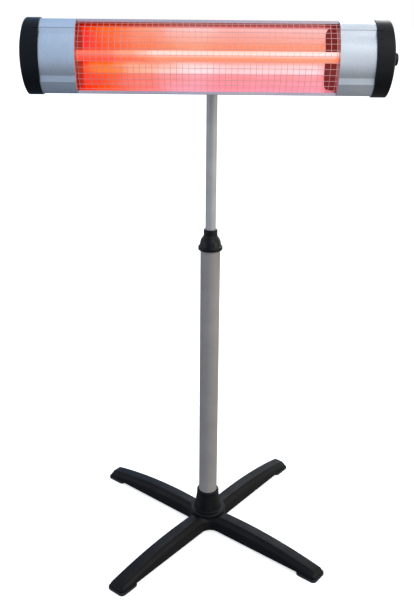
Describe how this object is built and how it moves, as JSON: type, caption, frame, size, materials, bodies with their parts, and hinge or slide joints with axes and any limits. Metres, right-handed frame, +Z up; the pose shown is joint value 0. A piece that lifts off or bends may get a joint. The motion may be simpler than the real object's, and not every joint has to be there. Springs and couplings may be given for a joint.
{
  "type": "outdoor heater",
  "caption": "Infrared bar heater on a height-adjustable telescopic pole with a low cross base; the long head tilts, the mast slides and turns.",
  "frame": {"origin": "on the floor under the pole axis; the head's middle lies 11 mm to the left of it", "axes": "+Z up along the pole, X along the heater head with the power knob at +X, the heater faces -Y"},
  "size_m": [0.788, 0.5914, 1.3198],
  "materials": {
    "black_coated_base": "black powder coat, satin",
    "black_rubber": "matt",
    "silver_tube_coat": "silver grey powder coat",
    "black_plastic": "fine moulded grain",
    "zinc_screws": "zinc plated",
    "nylon": "plain nylon",
    "bare_steel": "turned",
    "brass_insert": "turned",
    "bracket_coat": "black powder coat",
    "silver_housing": "silver metallic lacquer",
    "inner_plates": "plated sheet",
    "polished_reflector": "mirror polished",
    "quartz_glass": "clear quartz, lit",
    "glowing_coil": "glowing resistance wire",
    "ceramic": "unglazed",
    "guard_wire": "bright plated wire",
    "switch_housing": "phenolic",
    "switch_metal": "turned",
    "lead_sleeve": "silicone sleeve"
  },
  "bodies": {
    "stand": {"base_cross": "black_coated_base", "foot_pad_front_right": "black_rubber", "foot_pad_front_left": "black_rubber", "foot_pad_rear_left": "black_rubber", "foot_pad_rear_right": "black_rubber", "foot_screws": "zinc_screws", "hub_socket": "black_coated_base", "hub_screws": "zinc_screws", "centre_bolt": "zinc_screws", "centre_washer": "zinc_screws", "lower_tube": "silver_tube_coat", "tube_plug": "nylon", "mast_rest": "nylon", "collar_seat": "nylon", "collet": "nylon"},
    "collar": {"locking_collar": "black_plastic"},
    "carriage": {"slide_bush": "nylon"},
    "mast": {"upper_tube": "silver_tube_coat", "mast_stop_ring": "bare_steel", "mast_end_plug": "nylon", "mast_head_fitting": "black_plastic", "fitting_screw": "zinc_screws", "friction_washers": "nylon", "pivot_washers": "zinc_screws", "pivot_bolt": "zinc_screws"},
    "tilt_lock": {"tilt_knob": "black_plastic", "tilt_knob_insert": "brass_insert"},
    "head": {"head_bracket": "bracket_coat", "bracket_screws": "zinc_screws", "rear_housing": "silver_housing", "side_panel_right": "silver_housing", "side_panel_left": "silver_housing", "end_cap_right": "black_plastic", "end_cap_left": "black_plastic", "cap_screws": "zinc_screws", "bulkhead_right": "inner_plates", "bulkhead_left": "inner_plates", "chamber_wall_right": "inner_plates", "chamber_wall_left": "inner_plates", "reflector": "polished_reflector", "reflector_end_right": "polished_reflector", "reflector_end_left": "polished_reflector", "quartz_tube": "quartz_glass", "heating_coil": "glowing_coil", "tube_holder_right": "ceramic", "tube_holder_left": "ceramic", "holder_screws": "zinc_screws", "grille_cross_wires": "guard_wire", "grille_upright_wires": "guard_wire", "grille_rails": "guard_wire", "rotary_switch": "switch_housing", "thermal_cutout": "switch_housing", "tip_switch": "switch_housing", "terminal_block": "ceramic", "inner_leads": "lead_sleeve", "cable_gland": "black_plastic", "gland_cap": "black_plastic", "gland_nut": "black_plastic"},
    "power_control": {"power_knob": "black_plastic", "switch_shaft": "switch_metal"}
  },
  "joints": [
    {"name": "collar_turn", "type": "hinge", "parent": "stand", "child": "collar", "pos_m": [0, 0, 0.8165], "axis": [0, 0, 1], "range_deg": [0, 150]},
    {"name": "mast_height", "type": "slide", "parent": "stand", "child": "carriage", "axis": [0, 0, 1], "range_m": [-0.26, 0.24]},
    {"name": "mast_swivel", "type": "hinge", "parent": "carriage", "child": "mast", "pos_m": [0, 0, 0.5], "axis": [0, 0, 1], "range_deg": [-180, 180]},
    {"name": "head_tilt", "type": "hinge", "parent": "mast", "child": "head", "pos_m": [0, 0, 1.225], "axis": [-1, 0, 0], "range_deg": [-36, 35]},
    {"name": "tilt_knob_turn", "type": "hinge", "parent": "mast", "child": "tilt_lock", "pos_m": [0.027, 0, 1.225], "axis": [1, 0, 0], "range_deg": [0, 180]},
    {"name": "power_knob_turn", "type": "hinge", "parent": "head", "child": "power_control", "pos_m": [0.3844, -0.08496, 1.24303], "axis": [1, 0, 0], "range_deg": [0, 120]}
  ]
}
